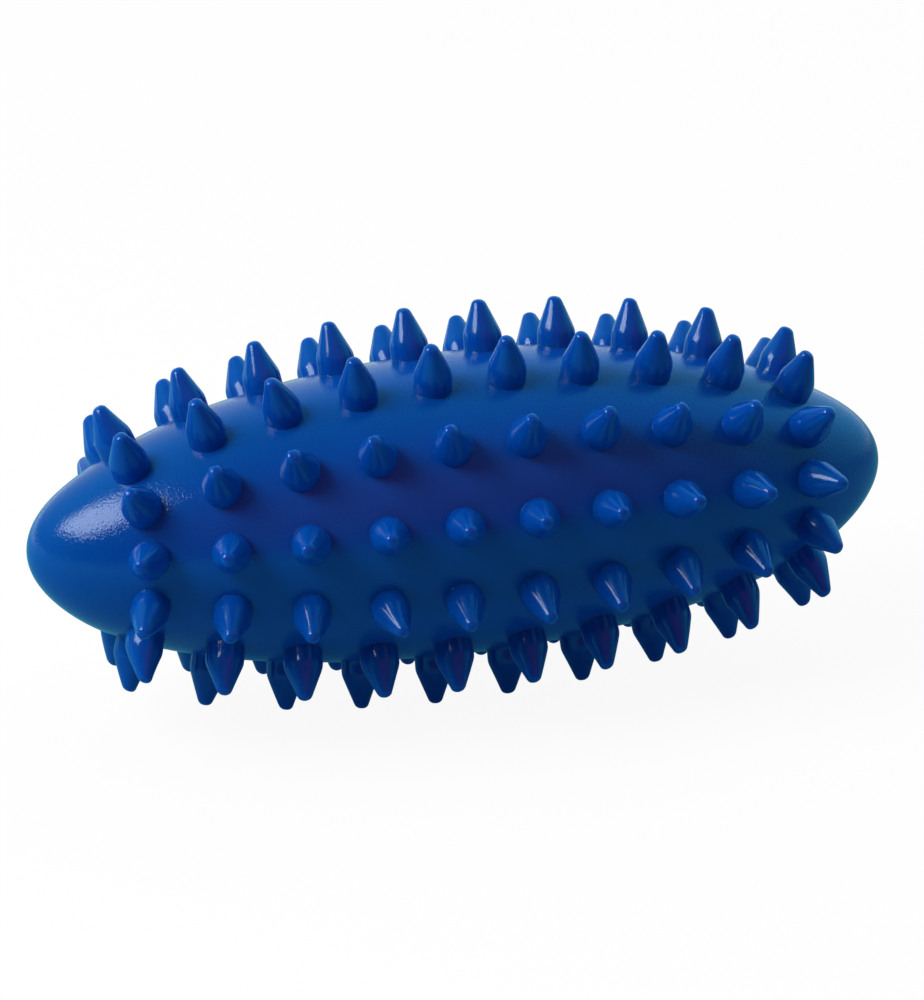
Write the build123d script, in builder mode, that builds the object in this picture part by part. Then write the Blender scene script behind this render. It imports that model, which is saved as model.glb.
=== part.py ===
from build123d import *
from math import acos, atan2, cos, hypot, pi, radians, sin, sqrt, tan
import os

# An oval spiky massage roll of soft vinyl. A hollow skin holds air, rings of blunt solid spikes
# stand square to it, and a push-in stopper closes the valve at one end. All sizes are in
# millimetres. +X runs along the roll towards the valve and +Z is up. The origin is on the
# surface that the roll rests on, under its middle.

# Skin
body_length = 155.0
body_diameter = 53.0
wall = 2.2

# Spikes
ring_count = 10
spikes_per_ring = 12
end_margin = 17.6
spike_height = 8.6
tip_radius = 1.35
foot_diameter = 6.8
foot_height = 2.5
foot_draft = 1.0

# Valve, at the +X pole
boss_diameter = 15.0
boss_depth = 6.5
stopper_seat_depth = 2.6
stopper_head_diameter = 8.0
stopper_head_gap = 0.25
shank_diameter = 3.0
shank_clearance = 0.05
shank_overhang = 0.9
shank_nose = 0.8
sleeve_wall = 2.0
flange_width = 2.5
flange_thickness = 1.5
tail_length = 3.5
tail_step = 0.5

half_length = body_length / 2
body_radius = body_diameter / 2
foot_radius = foot_diameter / 2
ring_pitch = (body_length - 2 * end_margin) / (ring_count - 1)
ring_places = [(i - (ring_count - 1) / 2) * ring_pitch for i in range(ring_count)]
row_step = 2 * pi / spikes_per_ring


# The roll's outline is an ellipse: its radius over a point of the axis.
def skin_radius(x):
    return body_radius * sqrt(1 - (x / half_length) ** 2)


# The outline's normal over that point, along the axis and away from it.
def skin_normal(x):
    along = x / half_length**2
    outward = skin_radius(x) / body_radius**2
    size = hypot(along, outward)
    return along / size, outward / size


# How far a spike of the two lowest rows reaches below the axis. Those rows stand half a step to
# either side of straight down.
def tip_drop(x):
    ball_reach = skin_radius(x) + skin_normal(x)[1] * (spike_height - tip_radius)
    return ball_reach * cos(row_step / 2) + tip_radius


axis_height = max(tip_drop(x) for x in ring_places)
roll_axis = Axis((0, 0, axis_height), (1, 0, 0))
side_view = Plane(origin=(0, 0, axis_height), x_dir=(1, 0, 0), z_dir=(0, -1, 0))


# A plane across the roll, facing the valve end.
def across(x):
    return Plane(origin=(x, 0, axis_height), x_dir=(0, 1, 0), z_dir=(1, 0, 0))


# A plane on the skin under one spike, facing out. The angle is counted from straight down.
def spike_base(x, angle):
    radius = skin_radius(x)
    along, outward = skin_normal(x)
    return Plane(
        origin=(x, radius * sin(angle), axis_height - radius * cos(angle)),
        x_dir=(outward, -along * sin(angle), along * cos(angle)),
        z_dir=(along, outward * sin(angle), -outward * cos(angle)),
    )


os.makedirs("parts", exist_ok=True)

# The outer shape of the skin, as a solid. The spikes' feet and the stopper's head are cut to it.
with BuildPart() as envelope:
    with BuildSketch(side_view):
        with BuildLine():
            EllipticalCenterArc((0, 0), half_length, body_radius, start_angle=0, arc_size=180)
            Line((-half_length, 0), (half_length, 0))
        make_face()
    revolve(axis=roll_axis)

# Skin: one hollow moulding, with a boss inside the pole for the valve. The hollow is an ellipse
# of its own, so the wall is full at the waist and the poles and a little thinner between them.
boss_face = half_length - boss_depth
seat_face = half_length - stopper_seat_depth
shank_radius = shank_diameter / 2
bore_radius = shank_radius + shank_clearance
sleeve_radius = bore_radius + sleeve_wall
recess_radius = stopper_head_diameter / 2 + stopper_head_gap

with BuildPart() as skin:
    add(envelope.part)
    with BuildSketch(side_view):
        Ellipse(half_length - wall, body_radius - wall)
        with Locations((boss_face, 0)):
            Rectangle(body_length, boss_diameter, align=(Align.MIN, Align.CENTER), mode=Mode.SUBTRACT)
        Rectangle(body_length, body_diameter, align=(Align.CENTER, Align.MAX), mode=Mode.SUBTRACT)
    revolve(axis=roll_axis, mode=Mode.SUBTRACT)
    with Locations(across(half_length)):
        CounterBoreHole(sleeve_radius, recess_radius, stopper_seat_depth, boss_depth)
skin.part.label = "skin"
export_step(skin.part, "parts/skin.step")

# Spike: a short, slightly drafted foot, then a cone that runs tangent into a ball tip. It is
# made on its own base plane, and a root below that plane reaches into the skin's curve.
shoulder_radius = foot_radius - foot_height * tan(radians(foot_draft))
ball_height = spike_height - tip_radius
cone_height = ball_height - foot_height
cone_angle = acos(tip_radius / hypot(shoulder_radius, cone_height)) - atan2(cone_height, shoulder_radius)
tangent_point = (tip_radius * cos(cone_angle), ball_height + tip_radius * sin(cone_angle))
root_depth = foot_radius**2 / skin_radius(ring_places[0])

with BuildPart() as spike:
    with BuildSketch(Plane.XZ):
        with BuildLine():
            Polyline(
                (0, spike_height),
                (0, -root_depth),
                (foot_radius, -root_depth),
                (foot_radius, 0),
                (shoulder_radius, foot_height),
                tangent_point,
            )
            RadiusArc(tangent_point, (0, spike_height), -tip_radius)
        make_face()
    revolve(axis=Axis.Z)

# Spike rings: each is a ring of separate spikes, with their feet cut to the skin
for number, place in enumerate(ring_places, start=1):
    bases = [spike_base(place, (k + 0.5) * row_step) for k in range(spikes_per_ring)]
    with BuildPart() as spike_ring:
        with Locations(*bases):
            add(spike.part)
        add(envelope.part, mode=Mode.SUBTRACT)
    spike_ring.part.label = f"spike_ring_{number:02d}"
    export_step(spike_ring.part, f"parts/spike_ring_{number:02d}.step")

# Valve seat: a sleeve bonded into the boss, held from inside by its flange
flange_face = boss_face - flange_thickness
tail_end = flange_face - tail_length

with BuildPart() as valve_seat:
    with BuildSketch(across(tail_end)):
        Circle(sleeve_radius - tail_step)
    extrude(amount=tail_length)
    with BuildSketch(across(flange_face)):
        Circle(sleeve_radius + flange_width)
    extrude(amount=flange_thickness)
    with BuildSketch(across(boss_face)):
        Circle(sleeve_radius)
    extrude(amount=seat_face - boss_face)
    with Locations(across(seat_face)):
        Hole(bore_radius)
valve_seat.part.label = "valve_seat"
export_step(valve_seat.part, "parts/valve_seat.step")

# Valve stopper: a pin with a round head that finishes flush with the pole
shank_length = seat_face - tail_end + shank_overhang

with BuildPart() as valve_stopper:
    with BuildSketch(across(seat_face)):
        Circle(stopper_head_diameter / 2)
    extrude(amount=stopper_seat_depth)
    add(envelope.part, mode=Mode.INTERSECT)
    with BuildSketch(across(seat_face)):
        Circle(shank_radius)
    extrude(amount=-shank_length)
    fillet(valve_stopper.edges().sort_by(Axis.X)[0], shank_nose)
valve_stopper.part.label = "valve_stopper"
export_step(valve_stopper.part, "parts/valve_stopper.step")

print("over spikes", round(2 * (axis_height - tip_radius) / cos(row_step / 2) + 2 * tip_radius, 2))
print("ring pitch", round(ring_pitch, 2), "axis height", round(axis_height, 3))
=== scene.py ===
import math

import bpy
import numpy as np
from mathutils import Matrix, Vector


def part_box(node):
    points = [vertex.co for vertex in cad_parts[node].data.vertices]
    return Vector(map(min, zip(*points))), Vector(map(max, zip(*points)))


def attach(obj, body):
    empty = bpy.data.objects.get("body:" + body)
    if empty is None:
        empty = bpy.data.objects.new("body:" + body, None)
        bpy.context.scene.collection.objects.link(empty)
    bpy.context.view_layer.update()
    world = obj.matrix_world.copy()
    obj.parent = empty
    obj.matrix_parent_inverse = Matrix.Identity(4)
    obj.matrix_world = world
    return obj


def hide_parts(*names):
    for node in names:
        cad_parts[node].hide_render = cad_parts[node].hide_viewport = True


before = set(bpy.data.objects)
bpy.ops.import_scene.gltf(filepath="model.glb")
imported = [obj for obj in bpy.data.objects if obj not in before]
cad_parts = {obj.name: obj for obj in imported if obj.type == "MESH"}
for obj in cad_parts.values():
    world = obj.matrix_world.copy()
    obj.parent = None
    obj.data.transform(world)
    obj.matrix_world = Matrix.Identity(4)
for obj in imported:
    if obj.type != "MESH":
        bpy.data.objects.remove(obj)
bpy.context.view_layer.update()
scene = bpy.context.scene
scene.view_settings.view_transform = "Standard"
mm = 0.001

# the roll's measures in millimetres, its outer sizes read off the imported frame
skinLow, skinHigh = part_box("skin")
roll = {
    "halfLength": -skinLow.x / mm,
    "radius": (skinHigh.z - skinLow.z) / 2 / mm,
    "axisHeight": (skinHigh.z + skinLow.z) / 2 / mm,
    "wall": 2.2,
    "rings": 10,
    "spikesPerRing": 12,
    "endMargin": 17.6,      # pole to the first ring
    "wobble": 0.05,         # slow unevenness of a soft skin
    "wobbleFade": 12.0,     # over this length it dies away at each pole
    "bow": 0.8,             # the soft ends hang lower than the middle
    "bowReach": 62.0,       # larger is a flatter bow
    "bowFade": 13.0,
}
roll["pitch"] = 2 * (roll["halfLength"] - roll["endMargin"]) / (roll["rings"] - 1)


def skinRadius(x):
    # an ellipse turned about the long axis: waist radius * sqrt(1 - (x / half length)^2)
    return roll["radius"] * np.sqrt(np.clip(1 - (x / roll["halfLength"]) ** 2, 0, None))


def skinWobble(x, angle):
    # slow rise and fall of the skin: a sum of three sine waves along and round the roll
    waves = np.sin(0.11 * x + 0.4) * np.cos(2 * angle + 0.7)
    waves = waves + 0.7 * np.sin(3 * angle - 0.07 * x)
    waves = waves + 0.6 * np.cos(0.19 * x + angle)
    fade = np.clip((roll["halfLength"] - np.abs(x)) / roll["wobbleFade"], 0, 1)
    return roll["wobble"] * waves * fade


def bowed(points):
    # lifts the middle and lowers the ends: bow * (1/2 - (x / reach)^2), faded out at both poles
    x = np.abs(points[..., 0])
    fade = np.clip((roll["halfLength"] - x) / roll["bowFade"], 0, 1)
    fade = fade * fade * (3 - 2 * fade)
    lift = roll["bow"] * (0.5 - (x / roll["bowReach"]) ** 2) * fade
    return points + lift[..., None] * np.array([0, 0, 1])


# mesh helpers: a turned shape is a profile of rows, its first and last row being single points
# on the axis and every other row a circle of columns

def turnedFaces(rows, columns):
    # quads between the circles and a fan of triangles at each end
    column = np.arange(columns)
    after = (column + 1) % columns
    start = 1 + np.arange(rows - 3)[:, None] * columns
    lower = [start + column, start + after]
    upper = [start + columns + after, start + columns + column]
    quads = np.stack(lower + upper, -1)
    last = 1 + (rows - 2) * columns
    low = np.stack([np.zeros_like(column), after + 1, column + 1], -1)
    high = np.stack([np.full_like(column, last), last - columns + column,
                     last - columns + after], -1)
    return quads.reshape(-1, 4), np.concatenate([low, high])


def turnedPoints(values, columns):
    # one value for each row becomes one for each vertex
    return np.concatenate([values[:1], np.repeat(values[1:-1], columns), values[-1:]])


def turnedAngles(rows, columns):
    circle = np.arange(columns) * 2 * np.pi / columns
    return np.concatenate([[0], np.tile(circle, rows - 2), [0]])


def makePiece(name, points, faceSets, material, body):
    # points in millimetres; faceSets are arrays of quads or triangles
    sizes = np.concatenate([np.full(len(faces), faces.shape[1]) for faces in faceSets])
    corners = np.concatenate([faces.ravel() for faces in faceSets]).astype(np.int32)
    starts = np.concatenate([[0], np.cumsum(sizes)[:-1]]).astype(np.int32)
    mesh = bpy.data.meshes.new(name)
    mesh.vertices.add(len(points))
    mesh.vertices.foreach_set("co", (points * mm).astype(np.float32).ravel())
    mesh.loops.add(len(corners))
    mesh.loops.foreach_set("vertex_index", corners)
    mesh.polygons.add(len(sizes))
    mesh.polygons.foreach_set("loop_start", starts)
    mesh.update(calc_edges=True)
    mesh.shade_smooth()
    mesh.materials.append(material)
    mesh.validate()
    piece = bpy.data.objects.new(name, mesh)
    scene.collection.objects.link(piece)
    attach(piece, body)
    return piece


def roundedProfile(corners, step, arcStep=0.3):
    # a line through corners (out, along, radius), each inner corner replaced by an arc of its
    # radius in turns of arcStep radians, then cut into runs no longer than step
    corners = np.array(corners, float)
    line = [corners[:1, :2]]
    for before, here, after in zip(corners, corners[1:], corners[2:]):
        inward = here[:2] - before[:2]
        onward = after[:2] - here[:2]
        inward = inward / np.linalg.norm(inward)
        onward = onward / np.linalg.norm(onward)
        turn = math.acos(np.clip(inward @ onward, -1, 1))
        side = np.sign(inward[0] * onward[1] - inward[1] * onward[0])
        normal = side * np.array([-inward[1], inward[0]])
        begin = here[:2] - inward * here[2] * math.tan(turn / 2)
        centre = begin + normal * here[2]
        sweep = np.linspace(0, turn, max(2, math.ceil(turn / arcStep) + 1))[:, None]
        line.append(centre + here[2] * (inward * np.sin(sweep) - normal * np.cos(sweep)))
    line.append(corners[-1:, :2])
    line = np.concatenate(line)
    lengths = np.linalg.norm(np.diff(line, axis=0), axis=1)
    runs = np.maximum(1, np.ceil(lengths / step)).astype(int)
    shares = np.concatenate([np.arange(count) / count for count in runs])
    first = np.repeat(np.arange(len(runs)), runs)
    cut = line[first] + (line[first + 1] - line[first]) * shares[:, None]
    return np.concatenate([cut, line[-1:]])


# node helpers: an input is given either a value or the socket to link to it

def giveInput(tree, socket, value):
    if isinstance(value, bpy.types.NodeSocket):
        tree.links.new(value, socket)
    else:
        socket.default_value = value


def addNode(tree, kind, settings=None, **inputs):
    # inputs go by their label, or by i0, i1, i2 where the labels aren't distinct
    node = tree.nodes.new(kind)
    for label, value in (settings or {}).items():
        setattr(node, label, value)
    for label, value in inputs.items():
        numbered = label[0] == "i" and label[1:].isdigit()
        giveInput(tree, node.inputs[int(label[1:]) if numbered else label], value)
    return node


def addMath(tree, operation, first, second):
    node = addNode(tree, "ShaderNodeMath", {"operation": operation}, i0=first, i1=second)
    return node.outputs[0]


def addSpread(tree, value, fromLimits, toLimits=(0, 1), smooth=True):
    # carries a value from one pair of limits to another, each limit a number or a socket
    node = addNode(tree, "ShaderNodeMapRange", Value=value)
    node.interpolation_type = "SMOOTHSTEP" if smooth else "LINEAR"
    labels = "From Min", "From Max", "To Min", "To Max"
    for label, limit in zip(labels, (*fromLimits, *toLimits)):
        giveInput(tree, node.inputs[label], limit)
    return node.outputs["Result"]


def newGroup(name, inputs, outputs):
    group = bpy.data.node_groups.new(name, "ShaderNodeTree")
    for label, kind, value in inputs:
        socket = group.interface.new_socket(name=label, in_out="INPUT",
                                            socket_type="NodeSocket" + kind)
        if value is not None:
            socket.default_value = value
    for label, kind in outputs:
        group.interface.new_socket(name=label, in_out="OUTPUT", socket_type="NodeSocket" + kind)
    given = group.nodes.new("NodeGroupInput").outputs
    result = group.nodes.new("NodeGroupOutput").inputs
    return group, given, result


def useGroup(tree, group, **inputs):
    node = addNode(tree, "ShaderNodeGroup", {"node_tree": group})
    for label, value in inputs.items():
        giveInput(tree, node.inputs[label], value)
    return node


def blendColours(tree, share, first, second, kind="MIX"):
    mix = addNode(tree, "ShaderNodeMix", {"data_type": "RGBA", "blend_type": kind})
    sockets = [mix.inputs["Factor"]] + [socket for socket in mix.inputs if socket.type == "RGBA"]
    for socket, value in zip(sockets, (share, first, second)):
        giveInput(tree, socket, value)
    return [socket for socket in mix.outputs if socket.type == "RGBA"][0]


# effects that every vinyl, rubber and plastic surface shares
noiseSpread = (0.3, 0.7)    # noise seldom leaves these limits

grain = {
    "detail": 2.0,
    "roughness": 0.6,
    "swellScale": 330.0,
    "swellDetail": 3.0,
}


def makeGrain():
    # height of a finely blasted mould surface: small noise + swell * slower noise
    group, given, result = newGroup(
        "mouldGrain",
        [("Position", "Vector", None), ("Fineness", "Float", 2000.0), ("Swell", "Float", 0.35)],
        [("Height", "Float")],
    )
    fine = addNode(group, "ShaderNodeTexNoise", Vector=given["Position"],
                   Scale=given["Fineness"], Detail=grain["detail"], Roughness=grain["roughness"])
    slow = addNode(group, "ShaderNodeTexNoise", Vector=given["Position"],
                   Scale=grain["swellScale"], Detail=grain["swellDetail"])
    swell = addMath(group, "MULTIPLY", slow.outputs["Fac"], given["Swell"])
    total = addMath(group, "ADD", fine.outputs["Fac"], swell)
    group.links.new(total, result["Height"])
    return group


clouding = {
    "detail": 4.0,
    "roughness": 0.55,
}


def makeClouding():
    # pigment that isn't quite even: two colours mixed by slow noise
    group, given, result = newGroup(
        "pigmentClouding",
        [("Position", "Vector", None), ("Colour", "Color", (0, 0, 1, 1)),
         ("Deep Colour", "Color", (0, 0, 1, 1)), ("Scale", "Float", 45.0)],
        [("Colour", "Color")],
    )
    noise = addNode(group, "ShaderNodeTexNoise", Vector=given["Position"], Scale=given["Scale"],
                    Detail=clouding["detail"], Roughness=clouding["roughness"])
    share = addSpread(group, noise.outputs["Fac"], noiseSpread)
    blended = blendColours(group, share, given["Colour"], given["Deep Colour"])
    group.links.new(blended, result["Colour"])
    return group


smears = {
    "scale": 90.0,
    "detail": 5.0,
    "roughness": 0.6,
    "distortion": 0.4,
}


def makeHandling():
    # polished or dulled by hands: roughness between two values in soft smears
    group, given, result = newGroup(
        "handlingSmears",
        [("Position", "Vector", None), ("Polished", "Float", 0.3), ("Dulled", "Float", 0.4)],
        [("Roughness", "Float")],
    )
    noise = addNode(group, "ShaderNodeTexNoise", Vector=given["Position"], Scale=smears["scale"],
                    Detail=smears["detail"], Roughness=smears["roughness"],
                    Distortion=smears["distortion"])
    rough = addSpread(group, noise.outputs["Fac"], noiseSpread,
                      (given["Polished"], given["Dulled"]), smooth=False)
    group.links.new(rough, result["Roughness"])
    return group


mouldGrain = makeGrain()
pigmentClouding = makeClouding()
handlingSmears = makeHandling()
print("node groups made")


# materials
skinLook = {
    "colour": (0.0004, 0.076, 0.410, 1),
    "deepColour": (0.0004, 0.069, 0.385, 1),
    "clouding": 45.0,
    "polished": 0.09,
    "dulled": 0.13,
    "fineness": 2000.0,
    "swell": 0.35,
    "grainDepth": 0.000060,     # metres
    "depthGlow": 0.0,           # how much light wanders inside the vinyl
    "glowSpread": (0.2, 0.7, 1.0),
    "glowScale": 0.003,         # metres
    "ior": 1.5,
    "shine": (0.5, 0.84, 1.0, 1),
}
spikeLook = dict(
    skinLook, colour=(0.0004, 0.086, 0.450, 1), deepColour=(0.0004, 0.079, 0.425, 1),
    polished=0.12, dulled=0.17, fineness=1500.0, grainDepth=0.000006, depthGlow=0.8,
)
seatLook = dict(
    skinLook, colour=(0.02, 0.02, 0.022, 1), deepColour=(0.014, 0.014, 0.016, 1),
    polished=0.42, dulled=0.55, shine=(1, 1, 1, 1),
)
stopperLook = dict(
    skinLook, colour=(0.80, 0.80, 0.77, 1), deepColour=(0.76, 0.76, 0.72, 1),
    polished=0.28, dulled=0.4, grainDepth=0.000008, shine=(1, 1, 1, 1),
)


def makeVinyl(name, look):
    material = bpy.data.materials.new(name)
    material.use_nodes = True
    tree = material.node_tree
    shader = tree.nodes["Principled BSDF"].inputs
    place = tree.nodes.new("ShaderNodeTexCoord").outputs["Object"]
    colour = useGroup(tree, pigmentClouding, Position=place, Scale=look["clouding"],
                      **{"Colour": look["colour"], "Deep Colour": look["deepColour"]})
    rough = useGroup(tree, handlingSmears, Position=place, Polished=look["polished"],
                     Dulled=look["dulled"])
    height = useGroup(tree, mouldGrain, Position=place, Fineness=look["fineness"],
                      Swell=look["swell"])
    bump = addNode(tree, "ShaderNodeBump", Height=height.outputs["Height"], Strength=1.0,
                   Distance=look["grainDepth"])
    tree.links.new(colour.outputs["Colour"], shader["Base Color"])
    tree.links.new(rough.outputs["Roughness"], shader["Roughness"])
    tree.links.new(bump.outputs["Normal"], shader["Normal"])
    shader["IOR"].default_value = look["ior"]
    shader["Specular Tint"].default_value = look["shine"]
    shader["Subsurface Weight"].default_value = look["depthGlow"]
    shader["Subsurface Radius"].default_value = look["glowSpread"]
    shader["Subsurface Scale"].default_value = look["glowScale"]
    return material


skinVinyl = makeVinyl("skinVinyl", skinLook)
spikeVinyl = makeVinyl("spikeVinyl", spikeLook)
seatRubber = makeVinyl("seatRubber", seatLook)
stopperPlastic = makeVinyl("stopperPlastic", stopperLook)
print("materials made")


# the skin: a hollow moulding with a recess and a boss for the valve at its right pole
seatLow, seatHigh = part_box("valve_seat")
valveFit = {
    "recessRadius": 4.25,
    "recessEdge": 0.3,      # the rounded rim of the recess takes this much of the skin
    "recessFloor": seatHigh.x / mm,
    "seatRadius": 3.55,
    "seatTail": 3.5,        # the seat's end that stands free inside the roll
    "seatFlange": 1.5,      # behind the boss, its thickness
    "bossRadius": 7.5,
}
valveFit["bossFace"] = seatLow.x / mm + valveFit["seatTail"] + valveFit["seatFlange"]
skin = {
    "columns": 144,
    "outerRows": 170,
    "innerRows": 60,
    "step": 1.0,            # longest run between two rows in the recess and the boss
}


def skinProfile():
    # (out, along) pairs from the left pole over the outside, down the recess, through the bore
    # for the seat, round the boss and back along the inner ellipse
    outer = roll["radius"], roll["halfLength"]
    inner = roll["radius"] - roll["wall"], roll["halfLength"] - roll["wall"]
    rim = valveFit["recessRadius"] + valveFit["recessEdge"]
    bossRadius, bossFace = valveFit["bossRadius"], valveFit["bossFace"]
    bossFoot = inner[1] * math.sqrt(1 - (bossRadius / inner[0]) ** 2)
    outside = np.linspace(np.pi, np.arcsin(rim / outer[0]), skin["outerRows"])
    outside = np.stack([outer[0] * np.sin(outside), outer[1] * np.cos(outside)], -1)
    outside[0, 0] = 0
    valve = roundedProfile([
        (*outside[-1], 0),
        (valveFit["recessRadius"], outside[-1, 1], 0.25),
        (valveFit["recessRadius"], valveFit["recessFloor"], 0.15),
        (valveFit["seatRadius"], valveFit["recessFloor"], 0.1),
        (valveFit["seatRadius"], bossFace, 0.1),
        (bossRadius, bossFace, 0.2),
        (bossRadius, bossFoot, 0),
    ], skin["step"])[1:]
    inside = np.linspace(np.arcsin(bossRadius / inner[0]), np.pi, skin["innerRows"])[1:]
    inside = np.stack([inner[0] * np.sin(inside), inner[1] * np.cos(inside)], -1)
    inside[-1, 0] = 0
    return np.concatenate([outside, valve, inside])


def makeSkin():
    # the profile turned about the long axis, only its outside following the slow wobble
    profile = skinProfile()
    rows, columns = len(profile), skin["columns"]
    out = turnedPoints(profile[:, 0], columns)
    along = turnedPoints(profile[:, 1], columns)
    angle = turnedAngles(rows, columns)
    isOutside = turnedPoints((np.arange(rows) < skin["outerRows"]) * 1.0, columns)
    out = np.where(out > 0, out + skinWobble(along, angle) * isOutside, 0)
    points = np.stack([along, out * np.sin(angle), roll["axisHeight"] - out * np.cos(angle)], -1)
    piece = makePiece("skinShell", bowed(points), turnedFaces(rows, columns), skinVinyl,
                      "roll")
    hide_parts("skin")
    return piece


skinShell = makeSkin()
print("skin made", len(skinShell.data.polygons), "faces")


# the spikes: twelve round each ring, stubby cones on short feet, in millimetres
spike = {
    "footRadius": 3.4,
    "footHeight": 2.74,
    "draft": 0.044,         # how much the foot narrows up to its shoulder
    "shoulder": 3.2,        # radius of the soft bend from foot to cone
    "height": 8.6,
    "tipRadius": 1.02,      # of the cone where it meets the crown
    "tipRound": 1.15,
    "crown": 0.06,          # the end's own slight dome
    "crease": 0.07,         # soft corner between skin and foot
    "creaseDepth": 0.02,
    "skirt": 0.2,           # how far the root reaches out past the crease
    "skirtDepth": 0.04,
    "root": 0.6,            # depth of the root below the skin
    "columns": 28,
    "step": 1.0,            # longest run between two rows
    "leanPower": 1.6,       # the lean grows with height to this power
    "leanLeft": (0.35, 0.95, -0.8),     # all rows, to the left: a parabola along the roll
    "leanSide": (0.75, -0.6),           # more for the front rows, less towards the right end
    "leanUnder": (-0.28, 0.7),          # bottom rows lean in from both ends, top rows out
    "leanAcross": -0.3,
    "leanNoise": 0.10,
    "bent": {       # ring from 1, row from 0 at the bottom: how far the tip is bent left and down
        (4, 9): (-1.75, -0.4), (6, 9): (-0.7, 0.0), (3, 6): (0.8, 0.2), (5, 7): (0.8, 0.0),
        (3, 7): (0.7, 0.0), (4, 7): (0.7, 0.0), (8, 8): (-0.8, 0.0), (10, 8): (-1.0, 0.5),
        (1, 6): (-0.9, 0.6), (10, 6): (0.9, 0.5), (1, 10): (-0.9, 0.0), (10, 7): (0.0, 0.8),
        (2, 11): (0.5, 0.0), (4, 10): (-0.5, 0.0), (9, 8): (-0.5, 0.3), (3, 8): (0.5, 0.0),
    },
    "sizeNoise": 0.012,
    "seed": 11,
}


def spikeProfile():
    # (out, up) pairs from the middle of the root, up the foot and the cone to the crown
    skirt = spike["footRadius"] + spike["crease"] + spike["skirt"]
    return roundedProfile([
        (0, -spike["root"], 0),
        (skirt, -spike["root"], 0.05),
        (skirt, -spike["skirtDepth"], 0.02),
        (spike["footRadius"], -spike["creaseDepth"], spike["crease"]),
        (spike["footRadius"] - spike["draft"], spike["footHeight"], spike["shoulder"]),
        (spike["tipRadius"], spike["height"] - spike["crown"], spike["tipRound"]),
        (0, spike["height"], 0),
    ], spike["step"])


def spikeAxes(place, angles):
    # for every spike of a ring: its foot on the skin, the outward normal there (the ellipse's
    # gradient), the direction along the roll to the left and the direction round the roll
    out = skinRadius(place)
    slope = place / roll["halfLength"] ** 2 / (out / roll["radius"] ** 2)
    normal = np.stack([np.full_like(angles, slope), np.sin(angles), -np.cos(angles)], -1)
    normal /= np.linalg.norm(normal, axis=1, keepdims=True)
    across = np.stack([np.zeros_like(angles), np.cos(angles), np.sin(angles)], -1)
    along = np.cross(across, normal)
    foot = np.stack([np.full_like(angles, place), out * np.sin(angles), -out * np.cos(angles)], -1)
    return foot, normal, along, across


def dropToSkin(points, normal):
    # how far each point lies above the skin, measured back along its spike's axis:
    # the nearer root t of |(point - t * normal) / half sizes|^2 = 1
    halfSizes = np.array([roll["halfLength"], roll["radius"], roll["radius"]])
    p, n = points / halfSizes, np.broadcast_to(normal, points.shape) / halfSizes
    a, b, c = (n * n).sum(-1), (p * n).sum(-1), (p * p).sum(-1) - 1
    return (b - np.sqrt(np.clip(b * b - a * c, 0, None))) / a


def spikeLean(index, place, angles, draw):
    # how far each tip stands off its axis, to the left and round the roll, which is down at the
    # front: a slow field over the roll, some chance, and the bent ones
    share = place / roll["halfLength"]
    left = np.polynomial.polynomial.polyval(share, spike["leanLeft"])
    left = left - np.sin(angles) * (spike["leanSide"][0] + spike["leanSide"][1] * share)
    left = left + np.cos(angles) * (spike["leanUnder"][0] + spike["leanUnder"][1] * share)
    lean = np.stack([left, np.full_like(left, spike["leanAcross"])], -1)
    for (ring, row), offset in spike["bent"].items():
        if ring == index + 1:
            lean[row] += offset
    return lean + draw.normal(0, spike["leanNoise"], lean.shape)


def makeRing(index, draw):
    # every spike is its profile turned about its own axis, its tip shifted by lean *
    # (height share)^power and its foot let down to the curved skin
    place = (index - (roll["rings"] - 1) / 2) * roll["pitch"]
    angles = (np.arange(roll["spikesPerRing"]) + 0.5) * 2 * np.pi / roll["spikesPerRing"]
    foot, normal, along, across = spikeAxes(place, angles)
    profile = spikeProfile()
    rows, columns = len(profile), spike["columns"]
    up = turnedPoints(profile[:, 1], columns)
    out = turnedPoints(profile[:, 0], columns)
    angle = turnedAngles(rows, columns)
    size = 1 + draw.normal(0, spike["sizeNoise"], (len(angles), 2))
    share = np.clip(up / spike["height"], 0, 1)
    lean = spikeLean(index, place, angles, draw)[:, None]
    lean = lean * (share ** spike["leanPower"])[None, :, None]
    u = out * np.cos(angle) * size[:, :1] + lean[..., 0]
    v = out * np.sin(angle) * size[:, :1] + lean[..., 1]
    h = np.where(up > 0, up * size[:, 1:], up)
    flat = foot[:, None] + u[..., None] * along[:, None] + v[..., None] * across[:, None]
    sink = dropToSkin(flat, normal[:, None]) * (1 - share) ** 2
    wobble = skinWobble(place, angles)[:, None]
    points = flat + (h - sink + wobble)[..., None] * normal[:, None]
    points[..., 2] += roll["axisHeight"]
    quads, fans = turnedFaces(rows, columns)
    shift = (np.arange(len(angles)) * len(up))[:, None, None]
    faces = (quads + shift).reshape(-1, 4), (fans + shift).reshape(-1, 3)
    piece = makePiece(f"spikeRing{index + 1:02d}", bowed(points).reshape(-1, 3), faces,
                      spikeVinyl, "roll")
    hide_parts(f"spike_ring_{index + 1:02d}")
    return piece


draw = np.random.default_rng(spike["seed"])
rings = [makeRing(index, draw) for index in range(roll["rings"])]
print("spikes made", len(rings), "rings of", roll["spikesPerRing"], "spikes")


# valve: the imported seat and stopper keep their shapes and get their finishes
for node, material in (("valve_seat", seatRubber), ("valve_stopper", stopperPlastic)):
    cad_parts[node].material_slots[0].material = material
print("valve finished")


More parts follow.
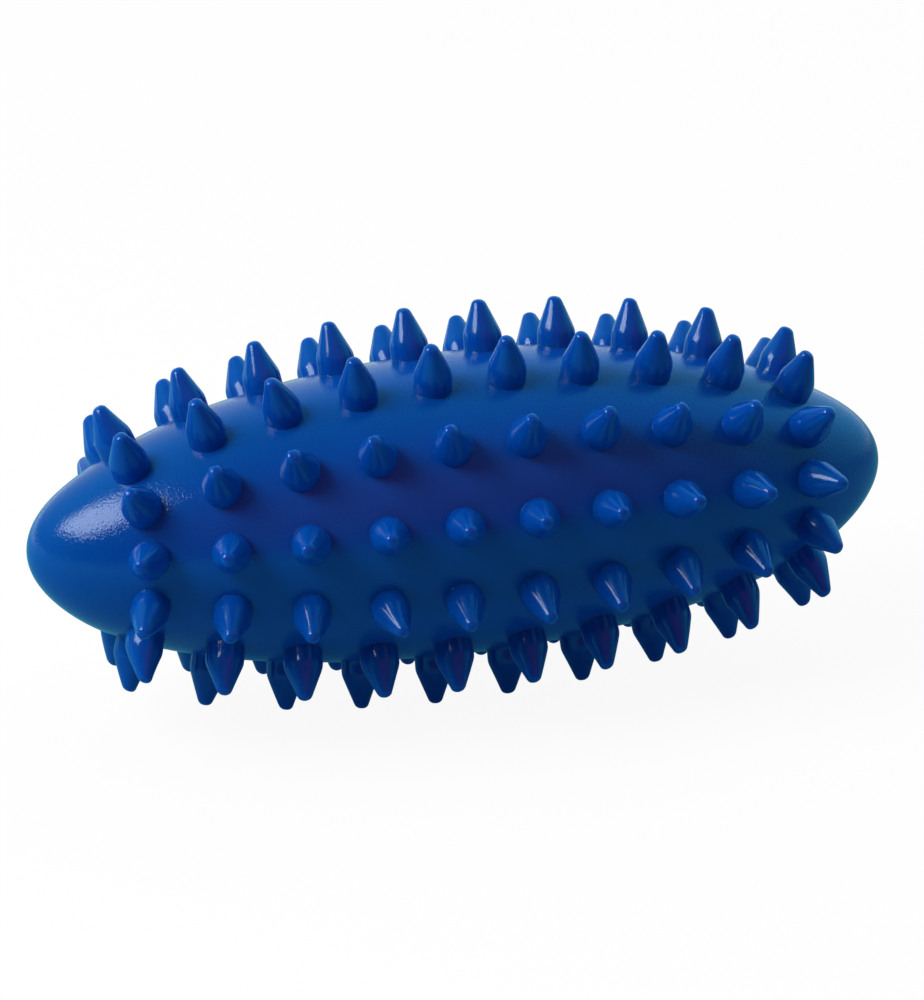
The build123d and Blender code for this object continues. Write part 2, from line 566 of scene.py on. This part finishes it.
# floor, light and camera, in metres
studio = {
    "floorSize": 8.0,
    "floorWhite": 0.93,             # brightness the floor keeps even in shade
    "floorShade": 0.08,             # brightness that shade can take away
    "bounce": (0.35, 0.35, 0.35, 1),
    "spill": (0.080, 0.100, 0.140, 1),
    "spillSide": (-0.03, -0.25),    # towards the left, where the floor's own glow grows
    "spillGain": 3.2,
    "sweep": (0.08, 0.6),           # behind the roll, where the reflected floor turns white
    "sweepColour": (0.8, 0.8, 0.85, 1),
    "backdrop": (1.0, 1.0, 1.0, 1),
    "room": [                       # azimuth, elevation and colour of the light from each side
        (-125, 48, (0.70, 0.72, 0.74)),
        (-90, 10, (0.22, 0.26, 0.24)),
        (180, 12, (0.48, 0.54, 0.48)),
        (135, 12, (0.62, 0.62, 1.02)),
        (90, 12, (0.46, 0.48, 0.40)),
        (110, 48, (0.56, 0.60, 0.74)),
    ],
    "sheen": [                      # the same for light that only reflections show
        (8, 34, (0.42, 0.00, 0.02)),
        (170, 4, (0.50, 0.08, 0.16)),
    ],
    "shineTint": (0.2, 1.0, 1.0, 1),    # tint of everything seen in reflections
    "roomSharpness": 5.0,
}
leftBox = {
    "azimuth": -84.0,
    "elevation": 43.5,
    "distance": 1.2,
    "width": 0.70,
    "height": 0.56,
    "level": 0.90,      # how bright a white card would be that faces the lamp at the roll
    "colour": (1, 0.72, 0.72),
}
viewpoint = {
    "azimuth": -17.0,
    "elevation": 23.5,
    "distance": 1.3,
    "lens": 267.4,
    "aimRight": 0.64,   # the aim lies this far off the roll's centre, in millimetres
    "aimUp": 0.69,
    "near": 0.05,
    "far": 50.0,
}
centre = Vector((0, 0, roll["axisHeight"] * mm))


def direction(azimuth, elevation):
    # unit vector towards a point seen at azimuth (0 is the front, -90 the left) and elevation
    a, e = math.radians(azimuth), math.radians(elevation)
    return Vector((math.sin(a) * math.cos(e), -math.cos(a) * math.cos(e), math.sin(e)))


def tintColour(tree, colour, tint):
    return blendColours(tree, 1.0, colour, tint, "MULTIPLY")


def makeFloor():
    # the camera sees a pale floor with a faint shade; the roll sees a darker one that glows
    # softly towards the left, and mirrors a white sweep behind itself
    half = studio["floorSize"] / 2
    mesh = bpy.data.meshes.new("floor")
    corners = [(-half, -half, 0), (half, -half, 0), (half, half, 0), (-half, half, 0)]
    mesh.from_pydata(corners, [], [(0, 1, 2, 3)])
    material = bpy.data.materials.new("paleFloor")
    material.use_nodes = True
    tree = material.node_tree
    tree.nodes.clear()
    light = tree.nodes.new("ShaderNodeLightPath")
    seen, mirrored = light.outputs["Is Camera Ray"], light.outputs["Is Glossy Ray"]
    place = addNode(tree, "ShaderNodeSeparateXYZ",
                    Vector=tree.nodes.new("ShaderNodeTexCoord").outputs["Object"])
    tint = blendColours(tree, mirrored, (1, 1, 1, 1), studio["shineTint"])

    bounceColour = tintColour(tree, tint, studio["bounce"])
    bounce = addNode(tree, "ShaderNodeBsdfDiffuse", Color=bounceColour)
    spillColour = tintColour(tree, tint, studio["spill"])
    spillLevel = addSpread(tree, place.outputs["X"], studio["spillSide"],
                           (1, studio["spillGain"]))
    spill = addNode(tree, "ShaderNodeEmission", Color=spillColour, Strength=spillLevel)
    behind = addSpread(tree, place.outputs["Y"], studio["sweep"])
    sweep = addNode(tree, "ShaderNodeEmission", Color=studio["sweepColour"],
                    Strength=addMath(tree, "MULTIPLY", behind, mirrored))
    near = addNode(tree, "ShaderNodeAddShader", i0=bounce.outputs[0], i1=spill.outputs[0])
    around = addNode(tree, "ShaderNodeAddShader", i0=near.outputs[0], i1=sweep.outputs[0])

    shade = addNode(tree, "ShaderNodeBsdfDiffuse", Color=(studio["floorShade"],) * 3 + (1,))
    white = addNode(tree, "ShaderNodeEmission", Color=(1, 1, 1, 1),
                    Strength=studio["floorWhite"])
    pale = addNode(tree, "ShaderNodeAddShader", i0=shade.outputs[0], i1=white.outputs[0])

    mixed = addNode(tree, "ShaderNodeMixShader", i0=seen, i1=around.outputs[0],
                    i2=pale.outputs[0])
    addNode(tree, "ShaderNodeOutputMaterial", Surface=mixed.outputs[0])
    mesh.materials.append(material)
    floor = bpy.data.objects.new("floor", mesh)
    scene.collection.objects.link(floor)


def makeRoomGlow():
    # light from one side of the room: colour * max(0, direction . side) ^ sharpness
    group, given, result = newGroup(
        "roomGlow",
        [("Direction", "Vector", None), ("Side", "Vector", (0, 0, 1)),
         ("Sharpness", "Float", 5.0), ("Colour", "Color", (1, 1, 1, 1))],
        [("Colour", "Color")],
    )
    facing = addNode(group, "ShaderNodeVectorMath", {"operation": "DOT_PRODUCT"},
                     i0=given["Direction"], i1=given["Side"])
    above = addMath(group, "MAXIMUM", facing.outputs["Value"], 0.0)
    lobe = addMath(group, "POWER", above, given["Sharpness"])
    tinted = addNode(group, "ShaderNodeVectorMath", {"operation": "SCALE"},
                     i0=given["Colour"], Scale=lobe)
    group.links.new(tinted.outputs[0], result["Colour"])
    return group


def addGlows(tree, total, around, glow, sides):
    for azimuth, elevation, colour in sides:
        side = useGroup(tree, glow, Direction=around, Side=direction(azimuth, elevation),
                        Sharpness=studio["roomSharpness"], Colour=(*colour, 1))
        total = addNode(tree, "ShaderNodeVectorMath", {"operation": "ADD"}, i0=total,
                        i1=side.outputs["Colour"]).outputs[0]
    return total


def makeWorld():
    # soft lobes of light round the room, tinted and with some sheen where they are mirrored
    world = bpy.data.worlds.new("studioRoom")
    world.use_nodes = True
    tree = world.node_tree
    tree.nodes.clear()
    glow = makeRoomGlow()
    around = tree.nodes.new("ShaderNodeTexCoord").outputs["Generated"]
    light = tree.nodes.new("ShaderNodeLightPath")
    seen, mirrored = light.outputs["Is Camera Ray"], light.outputs["Is Glossy Ray"]
    lit = addGlows(tree, (0, 0, 0), around, glow, studio["room"])
    shown = tintColour(tree, lit, studio["shineTint"])
    shown = addGlows(tree, shown, around, glow, studio["sheen"])
    room = addNode(tree, "ShaderNodeBackground", Color=blendColours(tree, mirrored, lit, shown))
    backdrop = addNode(tree, "ShaderNodeBackground", Color=studio["backdrop"])
    mixed = addNode(tree, "ShaderNodeMixShader", i0=seen, i1=room.outputs[0],
                    i2=backdrop.outputs[0])
    addNode(tree, "ShaderNodeOutputWorld", Surface=mixed.outputs[0])
    scene.world = world


def makeLight(name, lamp):
    # a soft box that faces the roll's centre
    data = bpy.data.lights.new(name, "AREA")
    data.shape = "RECTANGLE"
    data.size, data.size_y = lamp["width"], lamp["height"]
    data.energy = lamp["level"] * math.pi ** 2 * lamp["distance"] ** 2
    data.color = lamp["colour"]
    towards = direction(lamp["azimuth"], lamp["elevation"])
    light = bpy.data.objects.new(name, data)
    light.location = centre + towards * lamp["distance"]
    light.rotation_euler = towards.to_track_quat("Z", "Y").to_euler()
    light.visible_camera = False
    scene.collection.objects.link(light)


def makeCamera():
    back = direction(viewpoint["azimuth"], viewpoint["elevation"])
    turn = back.to_track_quat("Z", "Y")
    aim = turn @ Vector((viewpoint["aimRight"], viewpoint["aimUp"], 0)) * mm
    data = bpy.data.cameras.new("camera")
    data.lens = viewpoint["lens"]
    data.clip_start, data.clip_end = viewpoint["near"], viewpoint["far"]
    camera = bpy.data.objects.new("camera", data)
    camera.location = centre + aim + back * viewpoint["distance"]
    camera.rotation_mode = "QUATERNION"
    camera.rotation_quaternion = turn
    scene.collection.objects.link(camera)
    scene.camera = camera


makeFloor()
makeWorld()
makeLight("leftBox", leftBox)
makeCamera()
print("studio made")
